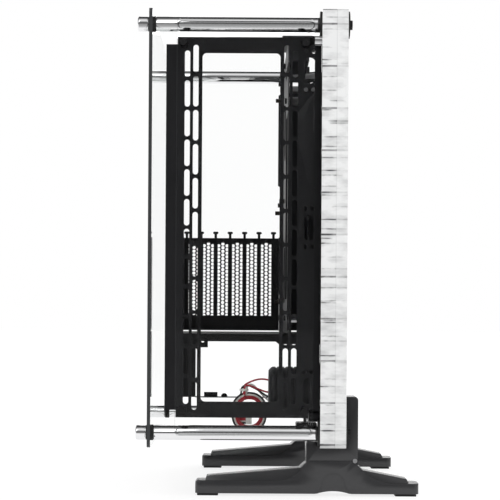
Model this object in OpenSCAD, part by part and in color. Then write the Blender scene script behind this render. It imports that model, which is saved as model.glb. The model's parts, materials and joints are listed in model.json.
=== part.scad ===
// Open-frame computer case: a glass panel and a two-layer clear water
// distribution plate, tied by four cross tubes, with a folded steel frame
// between them and two moulded feet under the plate.
// X runs across the case from the glass to the plate, Y runs away from the fan
// bracket, Z is up, and the floor is at zero height.

/* [Panels] */
// Height of the glass and of the distribution plate
panel_h = 504; // [480:1:560]
// Depth of the glass and of the distribution plate
panel_d = 432; // [400:1:480]
// Gap between the floor and the panels' lower edge
panel_lift = 58; // [54:1:80]
// Thickness of the glass
glass_t = 4; // [3:0.5:6]
// Thickness of the plate's inner layer
inner_t = 17; // [14:0.5:20]
// Thickness of the plate's outer layer
outer_t = 13; // [9:0.5:16]
// Bay centre to the inner face of the glass
bay_glass = 102; // [100:1:120]
// Bay centre to the inner face of the plate
bay_plate = 92.4; // [91:0.2:100]
// Corner radius of the panels
panel_r = 5; // [2:1:10]

/* [Cross tubes] */
// Diameter of the cross tubes and of their knobs
tube_d = 17.5; // [15:0.5:20]
// Tube centre to the near or far edge of the panels
tube_inset_y = 16; // [16:0.5:20]
// Tube centre to the upper or lower edge of the panels
tube_inset_z = 16.5; // [16:0.5:20]
// Length of a knob outside the glass
knob_l = 12; // [8:1:18]
// Diameter of the stud and bolt shanks
shank_d = 6; // [5:0.5:8]
// Radial clearance of a shank in its hole
shank_gap = 0.2; // [0.1:0.05:0.4]
// Thickness of the rubber washer outside the glass
outer_washer_t = 1.6; // [1:0.2:3]
// Thickness of the rubber washer inside the glass
inner_washer_t = 2.8; // [1:0.2:4]
// Diameter of the washers on the plate
plate_washer_d = 31; // [24:1:31]
// Thickness of the washers on the plate
plate_washer_t = 2; // [1:0.5:3]
// Diameter of the plate bolts' button heads
bolt_head_d = 11; // [9:0.5:13]
// Height of the plate bolts' button heads
bolt_head_h = 3.3; // [2:0.1:5]

/* [Distribution plate] */
// Pitch of the screws round the plate's edge
edge_pitch = 48.2; // [40:0.1:52]
// Screw centre to the edge of the plate
edge_inset = 8; // [7:0.5:9]
// Shank diameter of the plate's screws
edge_screw_d = 4; // [3:0.5:4]
// Width of a water channel
channel_w = 22; // [14:1:26]
// Depth of a water channel
channel_depth = 9; // [6:0.5:12]
// Width of the seal in its groove
seal_w = 3; // [2:0.5:4]
// Radius of the drilled size of a port's thread
port_r = 5.9; // [5:0.05:6.5]

/* [Steel frame] */
// Thickness of the sheet steel
sheet_t = 1.2; // [1:0.1:1.6]
// Depth of a folded edge
fold_d = 14; // [10:1:16]
// Bay centre to the fan bracket's free side
bracket_side = 86.7; // [85:0.1:92]
// Lower edge of the panels to the bracket's lower edge
bracket_rise = 34; // [32:1:40]
// Upper edge of the panels to the bracket's upper edge
bracket_drop = 31; // [30:1:40]
// Width of the bracket's window
window_w = 90; // [80:1:90]
// Bracket's edge to its window, above and below
window_edge = 18.5; // [17:0.5:24]
// Hole spacing of the narrow fans
fan_narrow = 105; // [104:0.5:106]
// Hole spacing of the wide fans
fan_wide = 124.5; // [123:0.5:125]
// Width of a fan slot
fan_slot_w = 6.2; // [4.5:0.1:6.5]

/* [Slots and supply] */
// Spacing of the expansion slots
slot_pitch = 20.32; // [20.3:0.01:20.4]
// Number of expansion slots
slot_count = 6; // [6:1:6]
// Height of a perforated slot cover
cover_h = 113; // [108:1:118]
// Diameter of the holes in a slot cover
cover_hole_d = 4.6; // [3:0.1:4.8]
// Distance between the power supply's upper holes
supply_span = 138; // [136:1:140]

/* [Pump] */
// Diameter of the pump body
pump_d = 60; // [50:1:62]
// Length of the pump body from the plate
pump_l = 58.4; // [50:0.2:62]

/* [Feet] */
// Width of a foot along the case
foot_w = 35; // [30:1:40]
// Foot centre to the near or far edge of the panels
foot_inset = 49.5; // [49.5:0.5:70]
// Height of the rubber pads' floor face under the moulding
pad_drop = 2.8; // [2:0.2:4]

/* [Hidden] */
$fn = 48;

// A cut runs this far past the face that it opens
past = 1;
// Two pieces that lie against each other keep this gap
seat_gap = 0.2;

// Panels and tubes
panel_z0 = panel_lift;
panel_z1 = panel_lift + panel_h;
edge_y = panel_d / 2;
glass_x0 = -bay_glass - glass_t;
seam_x = bay_plate + inner_t;
plate_x1 = seam_x + outer_t;
tube_y = edge_y - tube_inset_y;
tube_z0 = panel_z0 + tube_inset_z;
tube_z1 = panel_z1 - tube_inset_z;
tube_places = [[-tube_y, tube_z0], [tube_y, tube_z0], [-tube_y, tube_z1], [tube_y, tube_z1]];
tube_x0 = -bay_glass + inner_washer_t;
tube_x1 = bay_plate - plate_washer_t;
stud_l = 18;
stud_hole_d = shank_d + 2 * shank_gap;
knob_x0 = glass_x0 - outer_washer_t - knob_l;

// Foot outline, from the bay centre
foot_x0 = -51.3;
foot_x1 = plate_x1 + 87.3;
saddle_x0 = bay_plate - 14.4;
saddle_x1 = plate_x1 + 15.9;
saddle_z0 = panel_lift - 17;
foot_y = edge_y - foot_inset;

// The part's frame is centred between the knobs and the feet's far end
mid_x = (knob_x0 + foot_x1) / 2;

// Steel frame
face_y = -tube_y;
bracket_z0 = panel_z0 + bracket_rise;
bracket_z1 = panel_z1 - bracket_drop;
bracket_mid_z = (bracket_z0 + bracket_z1) / 2;
bracket_x1 = bay_plate - seat_gap;
notch = [13, 8.5];
rear_y = tube_y - sheet_t;
tray_x = 54.8;
tray_z1 = bracket_z1;
shelf_top = panel_z0 + 129.6;
module_z0 = shelf_top + 1.8;
cover_z0 = module_z0 + 15.6;
module_z1 = cover_z0 + cover_h + 1;
module_x0 = -80;
module_x1 = tray_x - seat_gap;
first_slot_x = 36.3;
frame_screw_d = 3.5;
frame_screw_head = 5.6;

// Pump
pump_y = face_y + 40;
pump_z = panel_z0 + 62;
pump_x0 = bay_plate - pump_l;
ring_d = pump_d + 10;
ring_t = 12;

// Top connector module
io_x = 66;
io_w = 24;
io_y0 = face_y + sheet_t + seat_gap;
io_l = 102;
io_z0 = bracket_z1 - 27;
bezel_z0 = bracket_z1 + seat_gap;
bezel_t = 1.8;
bezel_x0 = 47;
bezel_x1 = 84;
power_y = face_y + 20;
reset_y = face_y + 37;
power_d = 11;
reset_d = 6;
button_gap = 0.3;
button_travel = 1.5;
usb_y = [face_y + 66, face_y + 84];
usb_size = [5.9, 13.3];
usb_c_y = face_y + 51;
audio_y = face_y + 97;

// Routes of the pump's leads, chosen by hand, from the bay centre
lead_d = 2.4;
neck_z1 = 124.5;
red_route = [[34, -157, 134], [30, -157, 134.8], [25, -157, 135], [19, -157.2, 134],
    [13, -157.4, 131.8], [8.6, -157.6, 129.6], [5.8, -157.6, 127.4], [5, -157.6, neck_z1]];
red_lower_route = [[34, -163, 119.8], [29, -163, 121], [24, -163, 122.8], [18.5, -163, 125],
    [13, -163, 127], [9.2, -163, 127.8], [7, -162.9, 126.9], [6.2, -162.8, neck_z1]];
black_route = [[34, -160.1, 114.6], [30, -160.1, 116.6], [25.6, -160.1, 119.6], [21, -160.1, 122.6],
    [15.5, -160.1, 125.6], [9.5, -160.1, 127.8], [4.6, -160.4, 127.9], [2.3, -161.2, 126.6],
    [1.9, -161.6, neck_z1]];
white_route = [[34, -157.4, 110], [30, -157.4, 113], [25.6, -157.4, 117.6], [21.5, -157.4, 120.8],
    [17, -157.4, 123.4], [12.6, -157.4, 125.9], [9.7, -157.4, 126.3], [8.6, -157.4, neck_z1]];

// Places a piece that is drawn from the bay centre into the part's frame
module in_frame() translate([-mid_x, 0, 0]) children();

// A profile drawn in Y and Z, pulled from x over the length t
module along_x(x, t) translate([x, 0, 0]) rotate([90, 0, 90]) linear_extrude(t) children();

// A profile drawn in X and Z, pulled from y over the length t
module along_y(y, t) translate([0, y + t, 0]) rotate([90, 0, 0]) linear_extrude(t) children();

// Round bars along each axis
module rod_x(x0, x1, y, z, d) translate([x0, y, z]) rotate([0, 90, 0]) cylinder(h = x1 - x0, d = d);
module rod_y(y0, y1, x, z, d) translate([x, y0, z]) rotate([-90, 0, 0]) cylinder(h = y1 - y0, d = d);
module rod_z(z0, z1, x, y, d) translate([x, y, z0]) cylinder(h = z1 - z0, d = d);

// A block between two corners
module block(a, b) translate(a) cube(b - a);

// A rectangle between two corners, with rounded corners of radius r
module round_rect(a, b, r) {
    translate([a[0] + r, a[1]]) square([b[0] - a[0] - 2 * r, b[1] - a[1]]);
    translate([a[0], a[1] + r]) square([b[0] - a[0], b[1] - a[1] - 2 * r]);
    for (x = [a[0] + r, b[0] - r], z = [a[1] + r, b[1] - r])
        translate([x, z]) circle(r);
}

// A rectangle between two corners
module rect(a, b) translate(a) square(b - a);

// An upright slot with round ends
module slot_2d(x, z, length, w) {
    rect([x - w / 2, z - length / 2 + w / 2], [x + w / 2, z + length / 2 - w / 2]);
    for (s = [-1, 1]) translate([x, z + s * (length - w) / 2]) circle(d = w);
}

// A screw along X with its head at x and its point dir * length further on
module screw_x(x, y, z, d, length, head_d, head_h, dir) {
    tip = x + dir * length;
    rod_x(min(x, tip), max(x, tip), y, z, d);
    difference() {
        rod_x(dir > 0 ? x - head_h : x, dir > 0 ? x : x + head_h, y, z, head_d);
        translate([x - dir * head_h, y, z]) rotate([0, 90, 0])
            cylinder(h = head_h, d = head_d * 0.5, center = true, $fn = 6);
    }
}

// A screw along Y with its head at y and its point dir * length further on
module screw_y(y, x, z, d, length, head_d, head_h, dir) {
    tip = y + dir * length;
    rod_y(min(y, tip), max(y, tip), x, z, d);
    difference() {
        rod_y(dir > 0 ? y - head_h : y, dir > 0 ? y : y + head_h, x, z, head_d);
        translate([x, y - dir * head_h, z]) rotate([90, 0, 0])
            cylinder(h = head_h, d = head_d * 0.5, center = true, $fn = 6);
    }
}

// Screw places round the distribution plate's edge, in Y and Z
edge_first = 52.4;
edge_steps = 8;
edge_half_row = 3;
edge_screws = concat(
    [for (s = [-1, 1], k = [0:edge_steps]) [s * (edge_y - edge_inset), panel_z0 + edge_first + k * edge_pitch]],
    [for (z = [panel_z0 + edge_inset, panel_z1 - edge_inset], k = [-edge_half_row:edge_half_row])
        [k * edge_pitch, z]]);
edge_head_d = 7;
edge_head_h = 4;
edge_grip = 9;

// Water channels, as [low corner, high corner] in Y and Z
riser_y = edge_y - 66;
channel_z0 = panel_z0 + 50;
channel_z1 = panel_z1 - 60;
half_w = channel_w / 2;
reservoir_z0 = panel_z0 + 265;
channels = concat(
    [for (y = [-riser_y, riser_y]) [[y - half_w, channel_z0], [y + half_w, channel_z1]]],
    [for (z = [channel_z0, reservoir_z0 - channel_w, channel_z1 - channel_w])
        [[-riser_y - half_w, z], [riser_y + half_w, z + channel_w]]],
    [for (y = [-90, -35, 35, 90]) [[y - 18, reservoir_z0 - past], [y + 18, channel_z1 - channel_w - 12]]],
    [for (y = [-90, -35, 35, 90]) [[y - 5, reservoir_z0], [y + 5, channel_z1 - half_w]]]);
seal_y = riser_y + half_w + 15;
seal_z0 = channel_z0 - 14;
seal_z1 = channel_z1 + 14;
seal_r = 10;
seal_depth = 2.2;
port_z = [panel_z0 + 192, panel_z0 + 232];
plug_z = [panel_z0 + 332, panel_z0 + 372];

// Main board mounting holes and the hardware that joins the frame to the plate,
// in Y and Z
fold_screw_y = tube_y - 7;
bracket_screws = [for (z = [142, 272, 412]) [-fold_screw_y, panel_z0 + z]];
tray_fold_screws = [for (z = [170, 290, 430]) [fold_screw_y, panel_z0 + z]];
rear_fold_screws = [for (z = [60, 108]) [fold_screw_y, panel_z0 + z]];
shelf_fold_h = 11;
shelf_screws = [for (y = [tube_y - 230, tube_y - 80]) [y, shelf_top + 6]];
plate_fold_screws = concat(bracket_screws, tray_fold_screws, rear_fold_screws, shelf_screws);
board_rear_y = tube_y - 14.2;
board_top_z = bracket_z1 - 20;
board_holes = [for (y = [0, 154.94, 227.33], z = [0, 157.48, 281.94])
    [board_rear_y - y, board_top_z - z]];
spacer_y = [board_rear_y - 295.8, board_rear_y - 175.8, board_rear_y - 65.8];
spacer_low = panel_z0 + 149;
spacer_high = panel_z1 - 45;
spacer_places = [[spacer_y[0], spacer_low], [spacer_y[0], panel_z1 - 92], [spacer_y[1], spacer_low],
    [spacer_y[1], spacer_high], [spacer_y[2], spacer_low], [spacer_y[2], spacer_high]];
spacer_d = 10;
spacer_stud_l = 6;
tap_d = 4;
tap_hole = tap_d + 2 * shank_gap;
tray_to_frame = [for (z = [module_z0 + 62, module_z1 - 17.6]) [rear_y - 14, z]];
lug_screw = [io_y0 + io_l + 18, bracket_z1 - 14];
screw_head_d = 7;
screw_head_h = 2.2;

// Openings in the main board's tray, as [low corner, high corner] in Y and Z
standoff_h = 6.5;
port_window = [[-riser_y - 15, panel_z0 + 172], [-riser_y + 55, panel_z0 + 392]];
cooler_window = [[board_rear_y - 123.8, board_top_z - 140], [board_rear_y - 25.8, board_top_z - 28]];
cable_y = board_rear_y - 252.8;
shelf_y0 = cable_y - 9;
cable_z = [panel_z0 + 202, panel_z0 + 378];
cable_slot = [22, 64];
grommet_lip = 2;

// Side glass in front of the bracket
side_x = [-74, 84];
side_z = [panel_z0 + 14, panel_z1 - 12];
side_gap = 10;
side_t = 4;
side_y0 = face_y - side_gap - side_t;
side_holes = [for (x = [-67, 74], z = [bracket_z0 + 8, bracket_z1 - 8]) [x, z]];
side_spacer_d = 9;

// Fan slots as [x, z, length]
narrow_n = 11;
narrow_pitch = 39.2;
narrow_l = 35.2;
narrow_end_cut = 3.1;
wide_n = 12;
wide_pitch = 34.3;
wide_l = 30.6;
function row_z(k, n, pitch) = bracket_mid_z + (k - (n - 1) / 2) * pitch;
narrow_slots = [for (s = [-1, 1], k = [0:narrow_n - 1])
    let (end = k == 0 ? 1 : k == narrow_n - 1 ? -1 : 0)
    [s * fan_narrow / 2, row_z(k, narrow_n, narrow_pitch) + end * narrow_end_cut / 2,
        narrow_l - abs(end) * narrow_end_cut]];
wide_slots = [for (s = [-1, 1], k = [0:wide_n - 1])
    [s * fan_wide / 2, row_z(k, wide_n, wide_pitch), wide_l]];
service_x = bay_plate - 13.9;
service_z = [bracket_mid_z - 188.5, bracket_mid_z, bracket_mid_z + 181.5];

// Front glass
module front_glass() {
    color([0.62, 0.68, 0.67, 0.35]) along_x(glass_x0, glass_t) difference() {
        round_rect([-edge_y, panel_z0], [edge_y, panel_z1], panel_r);
        for (p = tube_places) translate(p) circle(d = stud_hole_d + 1.6);
    }
}

// Clear end panel in front of the bracket
module side_glass() {
    color([0.72, 0.76, 0.75, 0.35]) along_y(side_y0, side_t) difference() {
        round_rect([side_x[0], side_z[0]], [side_x[1], side_z[1]], panel_r);
        for (p = side_holes) translate(p) circle(d = tap_d + 1);
    }
}

module side_glass_spacers() {
    color([0.1, 0.1, 0.1]) for (p = side_holes) difference() {
        rod_y(face_y - side_gap, face_y, p[0], p[1], side_spacer_d);
        rod_y(face_y - side_gap - past, face_y + past, p[0], p[1], tap_hole);
    }
}

module side_glass_screws() {
    grip = side_t + side_gap + sheet_t;
    color([0.12, 0.12, 0.12]) for (p = side_holes)
        screw_y(side_y0, p[0], p[1], tap_d, grip, 8, 1.8, 1);
}

// A cross tube: a solid bar with a blind bore in each end
module cross_tube(p) {
    color([0.8, 0.8, 0.82]) difference() {
        union() {
            rod_x(tube_x0 + 0.8, tube_x1 - 0.8, p[0], p[1], tube_d);
            rod_x(tube_x0, tube_x1, p[0], p[1], tube_d - 1.6);
        }
        rod_x(tube_x0 - past, tube_x0 + stud_l, p[0], p[1], stud_hole_d);
        rod_x(tube_x1 - stud_l, tube_x1 + past, p[0], p[1], stud_hole_d);
    }
}

// Knobs outside the glass, each with its stud
module glass_knobs() {
    shoulder = glass_x0 - outer_washer_t;
    color([0.8, 0.8, 0.82]) for (p = tube_places) {
        rod_x(shoulder, tube_x0 + stud_l - 2, p[0], p[1], shank_d);
        translate([shoulder, p[0], p[1]]) rotate([0, -90, 0]) rotate_extrude()
            polygon([[0, 0], [tube_d / 2, 0], [tube_d / 2, knob_l - 1.2],
                [tube_d / 2 - 1.2, knob_l], [0, knob_l]]);
    }
}

module washer_x(x, t, p, d) difference() {
    rod_x(x, x + t, p[0], p[1], d);
    rod_x(x - past, x + t + past, p[0], p[1], stud_hole_d);
}

module glass_washers() {
    color([0.08, 0.08, 0.08]) for (p = tube_places) {
        washer_x(glass_x0 - outer_washer_t, outer_washer_t, p, tube_d - 0.8);
        washer_x(-bay_glass, inner_washer_t, p, tube_d + 0.6);
    }
}

module plate_washers() {
    color([0.08, 0.08, 0.08]) for (p = tube_places) {
        washer_x(tube_x1, plate_washer_t, p, plate_washer_d);
        washer_x(plate_x1, plate_washer_t, p, plate_washer_d);
    }
}

module plate_bolts() {
    head_x = plate_x1 + plate_washer_t;
    color([0.12, 0.12, 0.13]) for (p = tube_places)
        screw_x(head_x, p[0], p[1], shank_d, head_x - tube_x1 + stud_l - 2, bolt_head_d, bolt_head_h, -1);
}

// Outline of either plate layer with its tube and edge screw holes
module plate_outline() difference() {
    round_rect([-edge_y, panel_z0], [edge_y, panel_z1], panel_r);
    for (p = tube_places) translate(p) circle(d = stud_hole_d);
}

module channel_shape() for (c = channels) rect(c[0], c[1]);

module seal_shape(w) difference() {
    round_rect([-seal_y - w / 2, seal_z0 - w / 2], [seal_y + w / 2, seal_z1 + w / 2], seal_r + w / 2);
    round_rect([-seal_y + w / 2, seal_z0 + w / 2], [seal_y - w / 2, seal_z1 - w / 2], seal_r - w / 2);
}

// Inner layer: screw heads and ports on its inner face, channels on the seam
module distro_plate_inner() {
    color([0.85, 0.88, 0.9, 0.35]) difference() {
        along_x(bay_plate, inner_t) plate_outline();
        along_x(seam_x - channel_depth, channel_depth + past) channel_shape();
        along_x(seam_x - seal_depth, seal_depth + past) seal_shape(seal_w + 2 * seat_gap);
        for (p = edge_screws) {
            rod_x(bay_plate - past, seam_x + past, p[0], p[1], edge_screw_d + 2 * shank_gap);
            rod_x(bay_plate - past, bay_plate + edge_head_h + seat_gap, p[0], p[1], edge_head_d + 2 * seat_gap);
        }
        for (z = concat(port_z, plug_z))
            rod_x(bay_plate - past, seam_x - channel_depth + past, -riser_y, z, 2 * port_r);
        for (p = concat(plate_fold_screws, spacer_places))
            rod_x(bay_plate - past, bay_plate + spacer_stud_l + 0.5, p[0], p[1], tap_hole);
        for (p = ring_lugs)
            rod_x(bay_plate - past, bay_plate + spacer_stud_l + 0.5, p[0], p[1], tap_hole);
        for (p = foot_bolt_places)
            rod_z(panel_z0 - past, panel_z0 + foot_bolt_grip + 1, p[0], p[1], stud_hole_d);
    }
}

module distro_plate_outer() {
    color([0.85, 0.88, 0.9, 0.35]) difference() {
        along_x(seam_x, outer_t) plate_outline();
        for (p = edge_screws)
            rod_x(seam_x - past, seam_x + edge_grip + 0.5, p[0], p[1], edge_screw_d + 2 * shank_gap);
    }
}

module distro_gasket() {
    color([0.05, 0.05, 0.05]) along_x(seam_x - seal_depth, seal_depth) seal_shape(seal_w);
}

// Socket screws sunk in the inner layer and threaded in the outer one
module distro_screws() {
    head_x = bay_plate + edge_head_h + seat_gap;
    color([0.3, 0.3, 0.32]) for (p = edge_screws)
        screw_x(head_x, p[0], p[1], edge_screw_d, seam_x + edge_grip - head_x, edge_head_d, edge_head_h, 1);
}

// Stop plugs in the ports that are not used
module port_plugs() {
    color([0.75, 0.75, 0.77]) for (z = plug_z) difference() {
        union() {
            rod_x(bay_plate, bay_plate + inner_t - channel_depth - 1, -riser_y, z, 2 * (port_r - 0.1));
            rod_x(bay_plate - 4, bay_plate, -riser_y, z, 17);
        }
        translate([bay_plate - 4, -riser_y, z]) rotate([0, 90, 0]) cylinder(h = 5, d = 7, center = true, $fn = 6);
    }
}

// Notched outline of the fan bracket with its window and slots
module bracket_face() difference() {
    rect([-bracket_side, bracket_z0], [bracket_x1, bracket_z1]);
    for (x = [-bracket_side, bracket_x1 - notch[0]], z = [bracket_z0, bracket_z1 - notch[1]])
        rect([x, z], [x + notch[0], z + notch[1]]);
    round_rect([-window_w / 2, bracket_z0 + window_edge], [window_w / 2, bracket_z1 - window_edge], 5);
    for (s = concat(narrow_slots, wide_slots)) slot_2d(s[0], s[1], s[2], fan_slot_w);
    for (z = service_z) {
        slot_2d(service_x, z, 30, 10);
        for (x = [-4, 4], dz = [-22, 22]) translate([service_x + x, z + dz]) circle(d = 5);
    }
    for (p = side_holes) translate(p) circle(d = tap_hole);
}

// Near sheet: slotted face, folds at its sides and at the top and bottom
module radiator_bracket() {
    fold_x0 = -bracket_side + notch[0] + 1;
    color([0.17, 0.17, 0.18]) difference() {
        union() {
            along_y(face_y, sheet_t) bracket_face();
            block([-bracket_side, face_y, bracket_z0 + notch[1]],
                [-bracket_side + sheet_t, face_y + fold_d, bracket_z1 - notch[1]]);
            block([bracket_x1 - sheet_t, face_y, bracket_screws[0][1] - 17],
                [bracket_x1, face_y + fold_d, bracket_screws[2][1] + 18]);
            for (z = [bracket_z0, bracket_z1 - sheet_t])
                block([fold_x0, face_y, z], [bezel_x0 - 2, face_y + fold_d, z + sheet_t]);
        }
        for (p = bracket_screws)
            rod_x(bracket_x1 - sheet_t - past, bracket_x1 + past, p[0], p[1], tap_hole);
    }
}

// Far sheet below the shelf, with the power supply window
window_x = [-62, 80];
rear_screw = [module_x0 + 8, shelf_top - 7];
supply_x = [-52.3, -52.3 + supply_span];
supply_z = shelf_top - 13.6;
rear_z0 = panel_z0 + 37;
module rear_bracket() {
    low = rear_z0 + sheet_t;
    top = shelf_top - 11.3;
    color([0.17, 0.17, 0.18]) difference() {
        union() {
            along_y(rear_y, sheet_t) difference() {
                rect([module_x0, rear_z0], [bracket_x1, shelf_top]);
                difference() {
                    rect([window_x[0], low], [window_x[1], top]);
                    rect([window_x[0] - past, supply_z - 9], [window_x[0] + 17, top + past]);
                    rect([window_x[0] + 16, supply_z], [window_x[0] + 35, top + past]);
                    polygon([[window_x[1] - 33, top + past], [window_x[1] - 33, top], [window_x[1] - 25, top - 6.3],
                        [window_x[1] + past, top - 6.3], [window_x[1] + past, top + past]]);
                    rect([window_x[0] + 12, low - past], [window_x[0] + 31, low + 6]);
                    translate([window_x[0] + 40.5, low]) circle(4.5);
                }
                for (x = supply_x) translate([x, supply_z]) circle(d = 4.5);
                for (x = [supply_x[0] - 6, supply_x[1] - 1]) translate([x, supply_z - 64]) circle(d = 4.5);
                for (x = [rear_screw[0], bracket_x1 - 6.2]) translate([x, rear_screw[1]]) circle(d = tap_hole);
            }
            block([window_x[0], tube_y - fold_d, rear_z0], [window_x[1], tube_y, low]);
            block([bracket_x1 - sheet_t, tube_y - fold_d, rear_z0 + 6], [bracket_x1, tube_y, shelf_top - 6]);
            block([module_x0, tube_y - fold_d, rear_z0 + 4], [module_x0 + sheet_t, tube_y, shelf_top]);
        }
        for (p = rear_fold_screws)
            rod_x(bracket_x1 - sheet_t - past, bracket_x1 + past, p[0], p[1], tap_hole);
    }
}

// Shelf over the power supply bay
module psu_shelf() {
    rear = rear_y - seat_gap;
    left = module_x0 + sheet_t + seat_gap;
    right = bracket_x1 - sheet_t - seat_gap;
    lip = 9.6;
    cut = [50, 24];
    cut_x = -10;
    cut_y = [shelf_y0 + 31, tube_y - 35];
    color([0.15, 0.15, 0.16]) difference() {
        union() {
            block([left, shelf_y0, shelf_top - sheet_t], [bracket_x1, rear, shelf_top]);
            block([left, shelf_y0, shelf_top - lip], [right, shelf_y0 + sheet_t, shelf_top]);
            block([left, rear - sheet_t, shelf_top - lip - 1], [right, rear, shelf_top]);
            block([left, shelf_y0, shelf_top - lip], [left + sheet_t, rear, shelf_top]);
            block([bracket_x1 - sheet_t, shelf_y0, shelf_top - sheet_t],
                [bracket_x1, rear - fold_d - 2, shelf_top + shelf_fold_h]);
        }
        translate([0, 0, shelf_top - sheet_t - past]) linear_extrude(sheet_t + 2 * past)
            for (y = cut_y) round_rect([cut_x - cut[0] / 2, y - cut[1] / 2], [cut_x + cut[0] / 2, y + cut[1] / 2], 8);
        for (p = shelf_screws) rod_x(bracket_x1 - 2 * sheet_t, bracket_x1 + past, p[0], p[1], tap_hole);
        rod_y(rear - 3 * sheet_t, rear + past, rear_screw[0], rear_screw[1], tap_hole);
    }
}

function slot_x(k) = first_slot_x - k * slot_pitch;

// Frame of the expansion slots with a locating tab between each two covers
module slot_frame() {
    color([0.16, 0.16, 0.17]) difference() {
        union() {
            along_y(rear_y, sheet_t) difference() {
                union() {
                    rect([module_x0, module_z0], [module_x1, module_z1]);
                    for (k = [0:slot_count]) let (x = slot_x(k) + slot_pitch / 2) {
                        rect([x - 1.8, module_z1 - past], [x + 1.8, module_z1 + 7]);
                        round_rect([x - 3.75, module_z1 + 5.6], [x + 3.75, module_z1 + 9], 1.6);
                    }
                }
                for (k = [0:slot_count - 1]) let (x = slot_x(k))
                    rect([x - 7.3, cover_z0 + 5], [x + 7.3, cover_z0 + cover_h - 5.5]);
            }
            block([module_x1 - sheet_t, rear_y - 24, module_z0 + 50], [module_x1, tube_y, module_z1]);
            block([module_x0, rear_y - 18, module_z0], [module_x0 + sheet_t, tube_y, module_z1]);
            block([module_x0, rear_y - 18, module_z0], [module_x1, tube_y, module_z0 + sheet_t]);
        }
        for (p = tray_to_frame) rod_x(module_x1 - 2 * sheet_t, tray_x, p[0], p[1], tap_hole);
        for (k = [0:slot_count - 1])
            rod_y(rear_y - past, tube_y + past, slot_x(k), cover_z0 + cover_h - 2.8, frame_screw_d + 2 * shank_gap);
    }
}

// Perforated cover of one expansion slot
module slot_cover(k) {
    row_pitch = 5.15;
    rows = floor((cover_h - 9) / row_pitch);
    x = slot_x(k);
    screw_z = cover_z0 + cover_h - 2.8;
    color([0.2, 0.2, 0.21]) along_y(rear_y - 1, 1) difference() {
        polygon([[x - 6, cover_z0 - 8], [x + 6, cover_z0 - 8], [x + 6, cover_z0 - 1.5], [x + 9.3, cover_z0 + 2],
            [x + 9.3, cover_z0 + cover_h], [x - 9.3, cover_z0 + cover_h], [x - 9.3, cover_z0 + 2],
            [x - 6, cover_z0 - 1.5]]);
        for (c = [-1:1], r = [0:rows - 1])
            translate([x + c * 5.9, cover_z0 + 7.6 + (r + (c == 0 ? 0.5 : 0)) * row_pitch - 2.4])
                circle(d = cover_hole_d, $fn = 24);
        translate([x, screw_z]) circle(d = frame_screw_d + 2 * shank_gap);
    }
}

module slot_screws() {
    color([0.14, 0.14, 0.14]) for (k = [0:slot_count - 1])
        screw_y(tube_y, slot_x(k), cover_z0 + cover_h - 2.8, frame_screw_d, 4.5, frame_screw_head, 2, -1);
}

// Main board tray with its rear column
module motherboard_tray() {
    corner_y = io_y0 + io_l + 6;
    corner_z = io_z0 - 8;
    front_y = face_y + 20;
    color([0.16, 0.16, 0.17]) difference() {
        union() {
            along_x(tray_x, sheet_t) difference() {
                polygon([[front_y, module_z0], [tube_y, module_z0], [tube_y, tray_z1], [corner_y, tray_z1],
                    [corner_y, corner_z], [front_y, corner_z]]);
                round_rect(port_window[0], port_window[1], 6);
                round_rect(cooler_window[0], cooler_window[1], 8);
                for (z = cable_z)
                    round_rect([cable_y - cable_slot[0] / 2, z - cable_slot[1] / 2],
                        [cable_y + cable_slot[0] / 2, z + cable_slot[1] / 2], 10);
                for (p = board_holes) translate(p) circle(d = 3.2);
                for (p = concat(spacer_places, tray_to_frame, [lug_screw]))
                    translate(p) circle(d = tap_hole);
            }
            along_y(rear_y, sheet_t) {
                rect([tray_x, module_z0], [bracket_x1, tray_z1 - 6]);
                polygon([[tray_x - 2.4, tray_z1 - 138], [tray_x + 2, tray_z1 - 141], [tray_x + 2, tray_z1 - 8],
                    [tray_x - 2.4, tray_z1 - 11]]);
            }
            block([bracket_x1 - sheet_t, tube_y - fold_d, module_z0 + 14], [bracket_x1, tube_y, tray_z1 - 18]);
        }
        for (p = tray_fold_screws)
            rod_x(bracket_x1 - sheet_t - past, bracket_x1 + past, p[0], p[1], tap_hole);
    }
}

module board_standoffs() {
    color([0.75, 0.6, 0.3]) for (p = board_holes) difference() {
        union() {
            translate([tray_x - standoff_h, p[0], p[1]]) rotate([0, 90, 0])
                cylinder(h = standoff_h, d = 5.6, $fn = 6);
            rod_x(tray_x, tray_x + sheet_t + 1.5, p[0], p[1], 3);
        }
        rod_x(tray_x - standoff_h - past, tray_x - 0.6, p[0], p[1], 2.5);
    }
}

// Spacers that carry the tray on the plate, each with a stud in the plate
module tray_spacers() {
    back = tray_x + sheet_t;
    color([0.7, 0.7, 0.72]) for (p = spacer_places) difference() {
        union() {
            translate([back, p[0], p[1]]) rotate([0, 90, 0])
                cylinder(h = bay_plate - back, d = spacer_d, $fn = 6);
            rod_x(bay_plate, bay_plate + spacer_stud_l, p[0], p[1], tap_d);
        }
        rod_x(back - past, back + 10, p[0], p[1], tap_hole);
    }
}

// Rubber edges in the tray's cable slots
module tray_grommets() {
    module ring(grow, x, t) along_x(x, t) for (z = cable_z) difference() {
        round_rect([cable_y - cable_slot[0] / 2 - grow, z - cable_slot[1] / 2 - grow],
            [cable_y + cable_slot[0] / 2 + grow, z + cable_slot[1] / 2 + grow], 10 + grow);
        round_rect([cable_y - cable_slot[0] / 2 + 1.4, z - cable_slot[1] / 2 + 1.4],
            [cable_y + cable_slot[0] / 2 - 1.4, z + cable_slot[1] / 2 - 1.4], 8.6);
    }
    color([0.06, 0.06, 0.06]) {
        ring(grommet_lip, tray_x - 1, 1);
        ring(0, tray_x - 0.5, sheet_t + 1);
        ring(grommet_lip, tray_x + sheet_t, 1);
    }
}

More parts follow.
